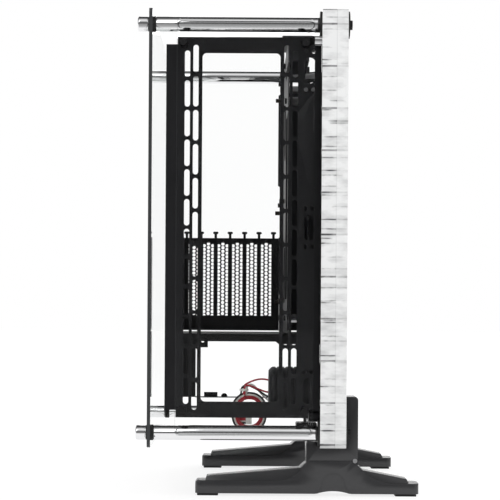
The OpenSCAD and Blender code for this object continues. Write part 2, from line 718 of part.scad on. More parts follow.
// Screws that join the sheets to each other, to the spacers and to the plate
module chassis_screws() {
    fold_x = bracket_x1 - sheet_t;
    color([0.12, 0.12, 0.13]) {
        for (p = plate_fold_screws)
            screw_x(fold_x, p[0], p[1], tap_d, sheet_t + spacer_stud_l, screw_head_d, screw_head_h, 1);
        for (p = concat(spacer_places, [lug_screw]))
            screw_x(tray_x, p[0], p[1], tap_d, sheet_t + 6, screw_head_d, screw_head_h, 1);
        for (p = tray_to_frame)
            screw_x(module_x1 - sheet_t, p[0], p[1], tap_d, 2 * sheet_t + 3, screw_head_d, screw_head_h, 1);
        screw_y(tube_y, rear_screw[0], rear_screw[1], tap_d, 2 * sheet_t + 3, screw_head_d, screw_head_h, -1);
    }
}

// Ribbed pump body on the plate's inner face
ring_lugs = [for (a = [45:90:315]) [pump_y + cos(a) * (pump_d / 2 + 8), pump_z + sin(a) * (pump_d / 2 + 8)]];
module pump_housing() {
    ribs = 7;
    rib_pitch = 5;
    groove = 1.6;
    r = pump_d / 2;
    rib_r = r - 1.4;
    profile = concat([[0, 0], [r - 4, 0], [r - 1, 3]],
        [for (k = [1:ribs]) each [[r, k * rib_pitch], [r, (k + 1) * rib_pitch - groove],
            [rib_r, (k + 1) * rib_pitch - groove], [rib_r, (k + 1) * rib_pitch]]],
        [[r, (ribs + 1) * rib_pitch], [r, pump_l], [0, pump_l]]);
    color([0.11, 0.11, 0.12]) translate([pump_x0, pump_y, pump_z]) rotate([0, 90, 0])
        rotate_extrude($fn = 96) polygon(profile);
}

module pump_ring() {
    color([0.2, 0.2, 0.21]) along_x(bay_plate - ring_t, ring_t) difference() {
        union() {
            translate([pump_y, pump_z]) circle(d = ring_d, $fn = 96);
            for (p = ring_lugs) translate(p) circle(d = 12);
        }
        translate([pump_y, pump_z]) circle(d = pump_d + 0.4, $fn = 96);
        for (p = ring_lugs) translate(p) circle(d = tap_hole);
    }
}

module pump_screws() {
    color([0.6, 0.6, 0.62]) for (p = ring_lugs)
        screw_x(bay_plate - ring_t, p[0], p[1], tap_d, ring_t + spacer_stud_l, screw_head_d, 3, 1);
}

// Moulded body of the top connector module, with a pocket for each fitting
flange_d = power_d + 2;
module io_housing() {
    x0 = io_x - io_w / 2;
    x1 = io_x + io_w / 2;
    color([0.1, 0.1, 0.1]) difference() {
        union() {
            block([x0, io_y0, io_z0], [x1, io_y0 + io_l, bezel_z0]);
            block([tray_x + sheet_t, io_y0 + io_l - past, io_z0 + 4], [tray_x + sheet_t + 7, lug_screw[0] + 6, io_z0 + 18]);
        }
        rod_z(bezel_z0 - 9, bezel_z0 + past, io_x, power_y, flange_d + 1);
        rod_z(bezel_z0 - 9, bezel_z0 + past, io_x, reset_y, reset_d + 3);
        for (y = usb_y) block([io_x - usb_size[1] / 2 - seat_gap, y - usb_size[0] / 2 - seat_gap, bezel_z0 - 12],
            [io_x + usb_size[1] / 2 + seat_gap, y + usb_size[0] / 2 + seat_gap, bezel_z0 + past]);
        block([io_x - 4.6, usb_c_y - 1.8, bezel_z0 - 8], [io_x + 4.6, usb_c_y + 1.8, bezel_z0 + past]);
        rod_z(bezel_z0 - 12, bezel_z0 + past, io_x, audio_y, 6.4);
        rod_x(tray_x, tray_x + sheet_t + 6, lug_screw[0], lug_screw[1], tap_hole);
    }
}

// Cover strip over the module and the bracket's upper edge
module io_bezel() {
    color([0.13, 0.13, 0.14]) translate([0, 0, bezel_z0]) linear_extrude(bezel_t) difference() {
        round_rect([bezel_x0, face_y], [bezel_x1, io_y0 + io_l + 2], 3);
        translate([io_x, power_y]) circle(d = power_d + 2 * button_gap);
        translate([io_x, reset_y]) circle(d = reset_d + 2 * button_gap);
        for (y = usb_y) rect([io_x - usb_size[1] / 2 - seat_gap, y - usb_size[0] / 2 - seat_gap],
            [io_x + usb_size[1] / 2 + seat_gap, y + usb_size[0] / 2 + seat_gap]);
        round_rect([io_x - 4.8, usb_c_y - 2], [io_x + 4.8, usb_c_y + 2], 1.9);
        translate([io_x, audio_y]) circle(d = 6.4);
    }
}

// Metal shells and tongues of the sockets
module io_sockets() {
    top = bezel_z0 + bezel_t;
    wall = 0.5;
    color([0.6, 0.6, 0.62]) {
        for (y = usb_y) {
            difference() {
                block([io_x - usb_size[1] / 2, y - usb_size[0] / 2, bezel_z0 - 12],
                    [io_x + usb_size[1] / 2, y + usb_size[0] / 2, top]);
                block([io_x - usb_size[1] / 2 + wall, y - usb_size[0] / 2 + wall, bezel_z0 - 11],
                    [io_x + usb_size[1] / 2 - wall, y + usb_size[0] / 2 - wall, top + past]);
            }
            block([io_x - 5.5, y - usb_size[0] / 2 + wall + 0.4, bezel_z0 - 11.2],
                [io_x + 5.5, y - usb_size[0] / 2 + wall + 2.2, top - 1]);
        }
        difference() {
            translate([io_x, usb_c_y, bezel_z0 - 8]) linear_extrude(top - bezel_z0 + 8)
                round_rect([-4.5, -1.7], [4.5, 1.7], 1.6);
            translate([io_x, usb_c_y, bezel_z0 - 7]) linear_extrude(top - bezel_z0 + 8)
                round_rect([-4.1, -1.3], [4.1, 1.3], 1.2);
        }
        block([io_x - 3.3, usb_c_y - 0.35, bezel_z0 - 7.2], [io_x + 3.3, usb_c_y + 0.35, top - 0.8]);
        difference() {
            rod_z(bezel_z0 - 12, top, io_x, audio_y, 6);
            rod_z(bezel_z0 - 11, top + past, io_x, audio_y, 3.6);
        }
    }
}

// A push button: cap through the bezel, flange under it, stem below
module button(y, d) {
    cap_top = bezel_z0 + bezel_t + 0.8;
    color([0.16, 0.16, 0.17]) {
        rod_z(bezel_z0 - 0.3, cap_top - 0.6, io_x, y, d);
        rod_z(cap_top - 0.6, cap_top, io_x, y, d - 1.2);
        rod_z(bezel_z0 - 2.3, bezel_z0 - 0.3, io_x, y, d + 2);
        rod_z(bezel_z0 - 9 + button_travel + 0.3, bezel_z0 - 2.3, io_x, y, d / 2);
    }
}

// Outline of a foot: floor beam with sloping arms, saddle, lip and upright
beam_z = pad_drop;
band_z = 17.4;
band_x1_z = 15.2;
upright_r = 4;
arch_x = saddle_x0 + 31.7;
arch_w = 38;
arch_h = 3;
arch_r = (pow(arch_w / 2, 2) + pow(arch_h, 2)) / (2 * arch_h);
module foot_outline() difference() {
    polygon(concat(
        [[foot_x0, beam_z], [foot_x0, band_z - 2], [foot_x0 + 2, band_z], [foot_x0 + 11.8, band_z],
            [foot_x0 + 13.3, 22.3], [saddle_x0 - 7, 32.6], [saddle_x0, saddle_z0 - 2.5],
            [saddle_x0, panel_lift + 3.6], [saddle_x0 + 1.4, panel_lift + 5],
            [bay_plate - seat_gap, panel_lift + 5], [bay_plate - seat_gap, panel_lift],
            [plate_x1 + seat_gap, panel_lift], [plate_x1 + seat_gap, panel_lift + 54 + upright_r]],
        [for (a = [90:-15:0])
            [saddle_x1 - upright_r + upright_r * cos(a), panel_lift + 54 + upright_r * sin(a)]],
        [[saddle_x1, saddle_z0 - 4.8], [saddle_x1 + 6.4, 30.2], [foot_x1 - 14.2, 20.2],
            [foot_x1 - 11.4, band_x1_z], [foot_x1, band_x1_z], [foot_x1, beam_z]]));
    translate([arch_x, beam_z + arch_h - arch_r]) circle(arch_r, $fn = 128);
}

// What is cut from each side of a foot to set the ridge of its arms back
module ridge_cut() {
    polygon([[foot_x0 - past, band_z], [foot_x0 + 94, band_z], [foot_x0 + 104, 18.6],
        [foot_x0 + 111, 21.2], [foot_x0 + 117, 25], [foot_x0 + 122.3, 30], [foot_x0 + 122.3, 50],
        [foot_x0 - past, 50]]);
    polygon([[foot_x1 + past, band_x1_z], [saddle_x1 + 38, band_x1_z], [saddle_x1 + 30.2, 16.8],
        [saddle_x1 + 21.2, 20], [saddle_x1 + 13, 24], [saddle_x1 + 6.9, 28.6], [saddle_x1 + 6.9, 50],
        [foot_x1 + past, 50]]);
}

// The arch sunk in each side under the saddle
module arch_cut() {
    half = arch_w / 2 - 5;
    translate([arch_x, beam_z + half - 3.6]) circle(half);
    polygon([[arch_x - half, beam_z + half - 3.6], [arch_x - half - 2, beam_z + 6],
        [arch_x - half - 7.5, beam_z - past], [arch_x + half + 7.5, beam_z - past],
        [arch_x + half + 2, beam_z + 6], [arch_x + half, beam_z + half - 3.6]]);
}

foot_bolt_grip = 15;
foot_bolt_x = bay_plate + inner_t / 2;
foot_bolt_step = 8;
foot_bolt_places = [for (s = [-1, 1], d = [-foot_bolt_step, foot_bolt_step]) [foot_bolt_x, s * foot_y + d]];
foot_bolt_z = 22;
foot_r = 7;
ridge_depth = 5;
arch_depth = 2;
seam_depth = 1.2;
seam_t = 0.8;
pin = [saddle_x1 - 3.2, saddle_z0 + 0.2];
pin_d = 3;
pin_head_d = 5.2;
pin_sink = 3;
pad_l = 24.6;
pad_inset = 3;
pad_x = [foot_x0 + 2.3, foot_x1 - 2.7 - pad_l];
pad_sink = 1.4;
module foot(y) {
    half = foot_w / 2;
    color([0.24, 0.24, 0.25]) difference() {
        intersection() {
            along_y(y - half, foot_w) foot_outline();
            linear_extrude(panel_z1) round_rect([foot_x0, y - half], [foot_x1, y + half], foot_r);
        }
        for (side = [[y - half - past, past + ridge_depth], [y + half - ridge_depth, past + ridge_depth]])
            along_y(side[0], side[1]) ridge_cut();
        for (side = [[y - half - past, past + arch_depth], [y + half - arch_depth, past + arch_depth]])
            along_y(side[0], side[1]) arch_cut();
        for (side = [[y - half - past, past + seam_depth], [y + half - seam_depth, past + seam_depth]])
            along_y(side[0], side[1]) rect([saddle_x0 + 4, saddle_z0], [pin[0] - 3, saddle_z0 + seam_t]);
        rod_y(y - half - past, y - half + pin_sink, pin[0], pin[1], pin_head_d + 1);
        rod_y(y - half - past, y - half + pin_sink + 9, pin[0], pin[1], pin_d + 2 * shank_gap);
        for (d = [-foot_bolt_step, foot_bolt_step]) {
            rod_z(-past, panel_lift + past, foot_bolt_x, y + d, stud_hole_d);
            rod_z(-past, foot_bolt_z, foot_bolt_x, y + d, bolt_head_d + 0.8);
        }
        for (x = pad_x)
            block([x - seat_gap, y - half + pad_inset - seat_gap, beam_z - past],
                [x + pad_l + seat_gap, y + half - pad_inset + seat_gap, beam_z + pad_sink]);
    }
}

module foot_pads() {
    color([0.05, 0.05, 0.05]) for (s = [-1, 1], x = pad_x)
        translate([0, s * foot_y, 0]) linear_extrude(beam_z + pad_sink)
            round_rect([x, -foot_w / 2 + pad_inset], [x + pad_l, foot_w / 2 - pad_inset], 2);
}

// Bolts that rise through each foot into the plate's lower edge, and a small
// screw in each foot's near side
module foot_bolts() {
    color([0.5, 0.5, 0.52]) {
        for (p = foot_bolt_places) difference() {
            union() {
                rod_z(foot_bolt_z, panel_lift + foot_bolt_grip, p[0], p[1], shank_d);
                rod_z(foot_bolt_z - 5, foot_bolt_z, p[0], p[1], bolt_head_d - 1);
            }
            translate([p[0], p[1], foot_bolt_z - 5]) cylinder(h = 5, d = 5.6, center = true, $fn = 6);
        }
        for (s = [-1, 1])
            screw_y(s * foot_y - foot_w / 2 + pin_sink, pin[0], pin[1], pin_d, 8, pin_head_d, 2, 1);
    }
}

// A round lead swept along its route, square to its first and last directions
function unit(v) = v / norm(v);
module lead(route, first, last) {
    sides = 8;
    n = len(route);
    heading = [for (i = [0:n - 1]) i == 0 ? first : i == n - 1 ? last : unit(route[i + 1] - route[i - 1])];
    rings = [for (i = [0:n - 1])
        let (a = unit(cross(heading[i], [0, 1, 0])), b = cross(heading[i], a))
        for (s = [0:sides - 1])
            route[i] + lead_d / 2 * (cos(360 * s / sides) * a + sin(360 * s / sides) * b)];
    walls = [for (i = [0:n - 2], s = [0:sides - 1])
        let (t = (s + 1) % sides)
        [i * sides + s, i * sides + t, (i + 1) * sides + t, (i + 1) * sides + s]];
    start = [for (s = [sides - 1:-1:0]) s];
    end = [for (s = [0:sides - 1]) (n - 1) * sides + s];
    polyhedron(points = rings, faces = concat(walls, [start], [end]), convexity = 4);
}

module lead_red() color([0.7, 0.16, 0.18]) lead(red_route, [-1, 0, 0], [0, 0, -1]);
module lead_red_lower() color([0.7, 0.16, 0.18]) lead(red_lower_route, [-1, 0, 0], [0, 0, -1]);
module lead_black() color([0.06, 0.06, 0.06]) lead(black_route, [-1, 0, 0], [0, 0, -1]);
module lead_white() color([0.9, 0.9, 0.88]) lead(white_route, [-1, 0, 0], [0, 0, -1]);

// The leads' coiled length: an oval ring with a neck, which the tie holds
hank_y = [-164.5, -155.5];
hank_x = [-9.5, 32.5];
hank_z = [72, 120];
hank_wall = 10;
hole_x = [hank_x[0] + hank_wall, hank_x[1] - hank_wall];
neck_x = [0.2, 10.2];
module lead_hank() {
    color([0.15, 0.12, 0.12]) along_y(hank_y[0], hank_y[1] - hank_y[0]) {
        difference() {
            round_rect([hank_x[0], hank_z[0]], [hank_x[1], hank_z[1]], 20);
            round_rect([hole_x[0], hank_z[0] + hank_wall], [hole_x[1], hank_z[1] - hank_wall], 6);
        }
        rect([neck_x[0], hank_z[1] - hank_wall / 2], [neck_x[1], neck_z1]);
    }
}

module lead_tie() {
    t = 1.1;
    color([0.92, 0.92, 0.9]) translate([0, 0, neck_z1 - 3.4]) linear_extrude(3) difference() {
        round_rect([neck_x[0] - t, hank_y[0] - t], [neck_x[1] + t, hank_y[1] + t], 0.9);
        rect([neck_x[0], hank_y[0]], [neck_x[1], hank_y[1]]);
    }
}

// The leads' plug, which rests in the ring
module lead_connector() {
    low = hank_z[0] + hank_wall;
    color([0.88, 0.87, 0.82])
        block([hole_x[0] + 7, hank_y[0] + 0.5, low], [hole_x[0] + 14, hank_y[1] - 0.5, low + 8]);
}

in_frame() front_glass();
in_frame() side_glass();
in_frame() side_glass_spacers();
in_frame() side_glass_screws();
in_frame() cross_tube(tube_places[0]);  // tube_bottom_near
in_frame() cross_tube(tube_places[1]);  // tube_bottom_far
in_frame() cross_tube(tube_places[2]);  // tube_top_near
in_frame() cross_tube(tube_places[3]);  // tube_top_far
in_frame() glass_knobs();
in_frame() glass_washers();
in_frame() plate_washers();
in_frame() plate_bolts();
in_frame() distro_plate_inner();
in_frame() distro_plate_outer();
in_frame() distro_gasket();
in_frame() distro_screws();
in_frame() port_plugs();
in_frame() radiator_bracket();
in_frame() rear_bracket();
in_frame() psu_shelf();
in_frame() slot_frame();
for (k = [0:slot_count - 1])
    in_frame() slot_cover(k);
in_frame() slot_screws();
in_frame() motherboard_tray();
in_frame() board_standoffs();
in_frame() tray_spacers();
in_frame() tray_grommets();
in_frame() chassis_screws();
in_frame() pump_housing();
in_frame() pump_ring();
in_frame() pump_screws();
in_frame() io_housing();
in_frame() io_bezel();
in_frame() io_sockets();
in_frame() button(power_y, power_d);  // power_button
in_frame() button(reset_y, reset_d);  // reset_button
in_frame() foot(-foot_y);  // foot_near
in_frame() foot(foot_y);  // foot_far
in_frame() foot_pads();
in_frame() foot_bolts();
in_frame() lead_red();
in_frame() lead_red_lower();
in_frame() lead_black();
in_frame() lead_white();
in_frame() lead_hank();
in_frame() lead_tie();
in_frame() lead_connector();
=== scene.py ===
# Open-frame computer case: finishes, wires and softened edges round the imported model.

# The imported model
# It is loaded first and nothing in it is moved.
import json
import math

import bmesh
import bpy
from mathutils import Matrix, Vector

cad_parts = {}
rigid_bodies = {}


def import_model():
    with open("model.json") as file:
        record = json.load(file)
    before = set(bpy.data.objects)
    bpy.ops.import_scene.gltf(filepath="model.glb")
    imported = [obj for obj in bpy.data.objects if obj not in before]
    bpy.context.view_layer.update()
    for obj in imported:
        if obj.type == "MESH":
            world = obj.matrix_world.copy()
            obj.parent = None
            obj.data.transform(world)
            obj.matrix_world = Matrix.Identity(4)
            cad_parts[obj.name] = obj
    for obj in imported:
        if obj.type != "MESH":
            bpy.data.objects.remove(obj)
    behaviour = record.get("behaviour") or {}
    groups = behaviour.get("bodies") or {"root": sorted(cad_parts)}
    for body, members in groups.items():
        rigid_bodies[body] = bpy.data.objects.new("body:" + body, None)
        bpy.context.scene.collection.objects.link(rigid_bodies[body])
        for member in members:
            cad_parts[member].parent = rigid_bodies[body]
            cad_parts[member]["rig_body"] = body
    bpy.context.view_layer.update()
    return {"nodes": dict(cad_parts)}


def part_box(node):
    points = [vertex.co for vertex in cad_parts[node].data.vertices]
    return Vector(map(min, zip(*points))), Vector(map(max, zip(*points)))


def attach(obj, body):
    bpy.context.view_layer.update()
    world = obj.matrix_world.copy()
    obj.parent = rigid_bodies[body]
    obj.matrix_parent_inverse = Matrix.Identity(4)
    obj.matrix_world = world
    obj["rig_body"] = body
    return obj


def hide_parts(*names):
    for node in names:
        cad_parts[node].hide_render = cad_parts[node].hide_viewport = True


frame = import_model()
nodes = frame["nodes"]

# The camera
# The photograph looks straight along the middle of the bay from the fan bracket's
# end, from a little over a third of the case's height, with a long lens that is
# shifted up and rolled a touch.
MM = 0.001
plate_low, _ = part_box("distro_plate_inner")
bay_x = plate_low.x - 92.4 * MM
camera_back = 2004.5 * MM
camera_height = 209 * MM
roll_left = math.radians(0.35)
bpy.ops.object.camera_add(location=(bay_x, -camera_back, camera_height))
camera = bpy.context.object
camera.name = "camera"
camera.data.lens = 112.6
camera.data.shift_x = 0.02
camera.data.shift_y = 0.1326
camera.data.clip_start = 0.05
camera.data.clip_end = 60
turn = Matrix.Rotation(math.pi / 2, 3, "X") @ Matrix.Rotation(roll_left, 3, "Z")
camera.rotation_euler = turn.to_euler()
bpy.context.scene.camera = camera
bpy.context.scene.view_settings.view_transform = "Standard"


# The front glass
# Toughened float glass, 4 mm thick, with ground edges. Seen end-on an edge is
# nearly black, because the light that enters it runs the depth of the panel,
# so the edge faces are painted near-black: a painted shade.
class Signal:
    """The output socket of a node, which can be reckoned with."""

    def __init__(self, shading, socket):
        self.shading = shading
        self.socket = socket

    def __add__(self, other):
        return self.shading.maths("ADD", self, other)

    def __radd__(self, other):
        return self.shading.maths("ADD", other, self)

    def __sub__(self, other):
        return self.shading.maths("SUBTRACT", self, other)

    def __rsub__(self, other):
        return self.shading.maths("SUBTRACT", other, self)

    def __mul__(self, other):
        return self.shading.maths("MULTIPLY", self, other)

    def __truediv__(self, other):
        return self.shading.maths("DIVIDE", self, other)

    def __gt__(self, other):
        return self.shading.maths("GREATER_THAN", self, other)

    def __abs__(self):
        return self.shading.maths("ABSOLUTE", self)

    def at_most(self, other):
        return self.shading.maths("MINIMUM", self, other)


class Shading:
    """A node tree, of a material or of the world."""

    def __init__(self, tree):
        self.tree = tree

    def put(self, socket, value):
        if isinstance(value, Signal):
            self.tree.links.new(value.socket, socket)
        elif isinstance(value, (tuple, list)) and len(socket.default_value) == 4:
            socket.default_value = (*value, 1.0)
        else:
            socket.default_value = value

    def add(self, kind, settings, inputs, out=0):
        """Adds a node; a ramp's stops are given as places with a grey level each."""
        node = self.tree.nodes.new(kind)
        for name, value in settings.items():
            if name == "stops":
                elements = node.color_ramp.elements
                while len(elements) < len(value):
                    elements.new(1.0)
                for element, (place, level) in zip(elements, value):
                    element.position = place
                    element.color = (level, level, level, 1.0)
            else:
                setattr(node, name, value)
        for socket, value in inputs.items():
            self.put(node.inputs[socket], value)
        return Signal(self, node.outputs[out])

    def maths(self, operation, first, second=0.0):
        return self.add(
            "ShaderNodeMath", {"operation": operation}, {0: first, 1: second}
        )

    def ramp(self, stops, place):
        return self.add("ShaderNodeValToRGB", {"stops": stops}, {"Fac": place})

    def split(self, vector):
        return [
            self.add("ShaderNodeSeparateXYZ", {}, {0: vector}, out) for out in range(3)
        ]

    def light_path(self, *rays):
        total = 0.0
        for ray in rays:
            total = total + self.add("ShaderNodeLightPath", {}, {}, ray)
        return total.at_most(1.0)

    def seen_by(self):
        """Three signals: seen straight or through glass, in a mirror, by soft light."""
        straight = self.light_path("Is Camera Ray", "Is Transmission Ray")
        mirror = self.light_path("Is Glossy Ray", "Is Transmission Ray")
        bounced = self.light_path("Glossy Depth")
        scattered = self.light_path("Diffuse Depth")
        kept = 1.0 - scattered
        seen = straight * (1.0 - bounced) * kept
        mirrored = mirror * bounced * kept
        return seen, mirrored, (1.0 - seen) * (1.0 - mirrored)


class Finish(Shading):
    """A material, whose sockets are named with underscores for spaces."""

    def __init__(self, name, **sockets):
        self.material = bpy.data.materials.new(name)
        self.material.use_nodes = True
        super().__init__(self.material.node_tree)
        self.shader = self.tree.nodes["Principled BSDF"]
        self.output = self.tree.nodes["Material Output"]
        self.set(**sockets)

    def set(self, **sockets):
        for name, value in sockets.items():
            self.put(self.shader.inputs[name.replace("_", " ")], value)
        return self

    def add_shader(self, factor, **sockets):
        """Lays a second surface over the first, where the factor is 1."""
        inputs = {name.replace("_", " "): value for name, value in sockets.items()}
        second = self.add("ShaderNodeBsdfPrincipled", {}, inputs)
        first = Signal(self, self.shader.outputs[0])
        mixed = self.add("ShaderNodeMixShader", {}, {0: factor, 1: first, 2: second})
        self.put(self.output.inputs["Surface"], mixed)

    def place(self):
        return self.add("ShaderNodeTexCoord", {}, {}, "Object")

    def noise(self, scale, detail=2.0, stretch=(1.0, 1.0, 1.0)):
        place = self.place()
        if stretch != (1.0, 1.0, 1.0):
            place = self.add(
                "ShaderNodeMapping", {}, {"Vector": place, "Scale": stretch}
            )
        inputs = {"Vector": place, "Scale": scale, "Detail": detail}
        return self.add("ShaderNodeTexNoise", {}, inputs)

    def bump(self, height, distance, strength):
        inputs = {"Height": height, "Distance": distance, "Strength": strength}
        return self.add("ShaderNodeBump", {}, inputs)

    def blend(self, factor, first, second):
        return self.add(
            "ShaderNodeMix", {"data_type": "RGBA"}, {0: factor, 6: first, 7: second}, 2
        )

    def facing(self, *axes):
        """1 where a surface faces along one of the axes, and 0 elsewhere."""
        mostly = 0.7
        parts = self.split(self.add("ShaderNodeNewGeometry", {}, {}, "Normal"))
        total = 0.0
        for axis in axes:
            total = total + (abs(parts[axis]) > mostly)
        return total


def dress(finish, *names):
    """Gives CAD nodes a finish and leaves their meshes alone."""
    for name in names:
        mesh = nodes[name].data
        mesh.materials.clear()
        mesh.materials.append(finish.material)


def edged_glass(name, index, clear, *edge_axes):
    """Clear glass whose ground edges, facing along the given axes, are painted
    near-black as painted shade.
    """
    finish = Finish(name, Base_Color=clear, IOR=index, Roughness=0.0)
    finish.set(Transmission_Weight=1.0)
    edge = finish.facing(*edge_axes)
    grain = finish.noise(900.0, 3.0)
    # Painted shade: the edge faces get a near-black colour, standing in for the light
    # lost along the glass.
    finish.add_shader(
        edge,
        Base_Color=(0.035, 0.037, 0.039),
        Roughness=0.28 + grain * 0.2,
        Normal=finish.bump(grain, 0.00005, 0.4),
    )
    return finish


pale_green = (0.96, 0.985, 0.975)
dress(edged_glass("toughened_glass", 1.5, pale_green, 1, 2), "front_glass")

# The distribution plate
# Two layers of clear cast acrylic, milled and screwed together on a seal. The
# sawn edges are frosted, and show saw marks and the seam between the layers;
# each screw gets a painted shadow, a dark line across the edge at its height.
acrylic = Finish("clear_acrylic", Base_Color=(0.97, 0.985, 0.99), IOR=1.49)
acrylic.set(Transmission_Weight=1.0, Roughness=0.0)
across, _, height = acrylic.split(acrylic.place())
off_mark = acrylic.add(
    "ShaderNodeTexVoronoi", {"voronoi_dimensions": "1D"}, {"W": height, "Scale": 88.0}
)
saw_mark = acrylic.ramp([(0.0, 0.8), (0.04, 0.55), (0.1, 0.0), (1.0, 0.0)], off_mark)
first_screw = plate_low.z + 52.4 * MM
screw_pitch = 48.2 * MM
screw_r = 1.8 * MM
off_screw = acrylic.maths("PINGPONG", height - first_screw, screw_pitch / 2)
# Painted shadow: a dark line across the frosted edge at each screw's height.
painted_screw_shadow = acrylic.ramp(
    [(0.0, 1.0), (0.4, 0.75), (0.75, 0.1), (1.0, 0.0)], off_screw / screw_r
)
uneven = acrylic.noise(1.0, 3.0, (120.0, 1.0, 60.0))
cloudy = acrylic.noise(1.0, 4.0, (45.0, 1.0, 110.0))
milky = acrylic.ramp([(0.0, 0.0), (0.42, 0.0), (0.72, 1.0)], cloudy)
seam_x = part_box("distro_plate_outer")[0].x
half_seam = 0.6 * MM
in_outer_layer = across > seam_x
on_seam = 1.0 - (abs(across - seam_x) > half_seam)
# Real saw marks plus the painted screw shadows.
saw_marks_and_screw_shadows = saw_mark * milky * 1.6 + painted_screw_shadow * (uneven + 0.25)
darker = (saw_marks_and_screw_shadows * (1.0 - in_outer_layer * 0.7)).at_most(0.8)
darker = darker + on_seam * 0.1 + milky * 0.3
haze = acrylic.noise(45.0, 3.0)
acrylic.add_shader(
    acrylic.facing(1, 2),
    Base_Color=acrylic.blend(darker, (0.985, 0.99, 0.99), (0.09, 0.09, 0.095)),
    Roughness=0.1 + haze * 0.1,
    Transmission_Weight=0.14,
    IOR=1.49,
    Normal=acrylic.bump(haze, 0.00004, 0.2),
)
dress(acrylic, "distro_plate_inner", "distro_plate_outer")
seal_rubber = Finish("seal_rubber", Base_Color=(0.02, 0.02, 0.02), Roughness=0.55)
seal_rubber.set(Normal=seal_rubber.bump(seal_rubber.noise(1500.0), 0.00004, 0.5))
dress(seal_rubber, "distro_gasket")

# The screws and bolts
# Steel socket screws clamp the plate's layers and the pump, and steel bolts rise
# out of the feet. The sheets' screws and the plate's bolts are black.
steel = Finish("bare_steel", Base_Color=(0.42, 0.42, 0.43), Metallic=1.0)
brushed = steel.noise(700.0, 4.0)
steel.set(Roughness=0.24 + brushed * 0.2, Normal=steel.bump(brushed, 0.00002, 0.5))
dress(steel, "distro_screws", "pump_screws", "foot_bolts", "tray_spacers", "io_sockets")
black_oxide = Finish("black_oxide", Base_Color=(0.02, 0.02, 0.021), Metallic=0.4)
worn = black_oxide.noise(500.0, 4.0)
black_oxide.set(Roughness=0.3 + worn * 0.2, Specular_IOR_Level=0.3)
dress(
    black_oxide, "plate_bolts", "side_glass_screws", "chassis_screws", "slot_screws"
)


# The cross tubes and their knobs
# Solid bars with a polished chrome plate. The knobs are the same bar, cut
# short, with a turned chamfer on the outer end. The port plugs match them.
def softened(name, finish, width, segments=2):
    """Puts a merged copy with rounded edges in the place of a CAD node."""
    piece = nodes[name].copy()
    piece.data = nodes[name].data.copy()
    piece.name = name + "_finished"
    piece.parent = None
    for key in list(piece.keys()):
        del piece[key]
    bpy.context.scene.collection.objects.link(piece)
    bpy.ops.object.select_all(action="DESELECT")
    piece.select_set(True)
    bpy.context.view_layer.objects.active = piece
    bpy.ops.object.mode_set(mode="EDIT")
    bpy.ops.mesh.select_all(action="SELECT")
    bpy.ops.mesh.remove_doubles(threshold=0.00001)
    bpy.ops.mesh.dissolve_limited(angle_limit=math.radians(0.5))
    bpy.ops.object.mode_set(mode="OBJECT")
    rounding = piece.modifiers.new("rounded edges", "BEVEL")
    rounding.width = width
    rounding.segments = segments
    rounding.limit_method = "ANGLE"
    rounding.angle_limit = math.radians(25)
    bpy.ops.object.modifier_apply(modifier=rounding.name)
    bpy.ops.object.shade_smooth_by_angle(angle=math.radians(35))
    piece.data.materials.clear()
    piece.data.materials.append(finish.material)
    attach(piece, nodes[name]["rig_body"])
    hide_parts(name)


chrome = Finish("chrome", Base_Color=(0.84, 0.84, 0.85), Metallic=1.0)
polish = chrome.noise(35.0, 3.0)
turned = chrome.noise(240.0, 2.0, (8.0, 1.0, 1.0))
chrome.set(Roughness=0.03 + polish * 0.05, Normal=chrome.bump(turned, 0.000004, 0.2))
for tube in ("tube_top_near", "tube_top_far", "tube_bottom_near", "tube_bottom_far"):
    softened(tube, chrome, 0.3 * MM)
for turned_piece in ("glass_knobs", "port_plugs"):
    softened(turned_piece, chrome, 0.25 * MM)

# The end glass
# A clear coated panel with ground edges and a small chamfer, held on spacers
# in front of the fan bracket. Its edges and chamfer are painted near-black, a
# painted shade.
colourless = (0.995, 1.0, 0.998)
coated_glass = edged_glass("coated_glass", 1.22, colourless, 0, 2)
softened("side_glass", coated_glass, 0.9 * MM, 1)

# The fill fitting
# A knurled steel cap, screwed against the distribution plate just behind the
# bracket's clipped corner, where it catches the light.
cap_height = 8.4 * MM
bpy.ops.mesh.primitive_cylinder_add(
    vertices=36,
    radius=5.6 * MM,
    depth=cap_height,
    location=(plate_low.x - cap_height / 2, -204.0 * MM, 527.0 * MM),
    rotation=(0.0, math.pi / 2, 0.0),
)
cap = bpy.context.object
cap.name = "fill_cap"
bpy.ops.object.transform_apply(location=True, rotation=True, scale=True)
bpy.ops.object.mode_set(mode="EDIT")
bpy.ops.mesh.select_mode(type="FACE")
bpy.ops.mesh.select_all(action="DESELECT")
shell = bmesh.from_edit_mesh(cap.data)
rim = [face for face in shell.faces if len(face.verts) == 4]
for face in rim[::2]:
    face.select = True
bmesh.update_edit_mesh(cap.data)
bpy.ops.mesh.inset(thickness=0.18 * MM, use_individual=True)
bpy.ops.transform.shrink_fatten(value=-0.4 * MM)
bpy.ops.mesh.select_all(action="DESELECT")
shell = bmesh.from_edit_mesh(cap.data)
for face in shell.faces:
    is_round = len(face.verts) > 8
    is_outer = face.calc_center_median().x < plate_low.x - 8 * MM
    face.select = is_round and is_outer
bmesh.update_edit_mesh(cap.data)
bpy.ops.mesh.inset(thickness=1.6 * MM)
bpy.ops.mesh.inset(thickness=0.3 * MM)
bpy.ops.transform.translate(value=(1.6 * MM, 0.0, 0.0))
bpy.ops.object.mode_set(mode="OBJECT")
cap.data.materials.append(chrome.material)
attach(cap, "root")

# The rubber washers, pads and edgings
# Black nitrile rubber with a dull moulded skin.
rubber = Finish("black_rubber", Base_Color=(0.02, 0.02, 0.02))
skin = rubber.noise(1100.0, 3.0)
rubber.set(
    Roughness=0.5 + skin * 0.25,
    Specular_IOR_Level=0.3,
    Normal=rubber.bump(skin, 0.00006, 0.5),
)
dress(rubber, "glass_washers", "plate_washers", "tray_grommets", "foot_pads")

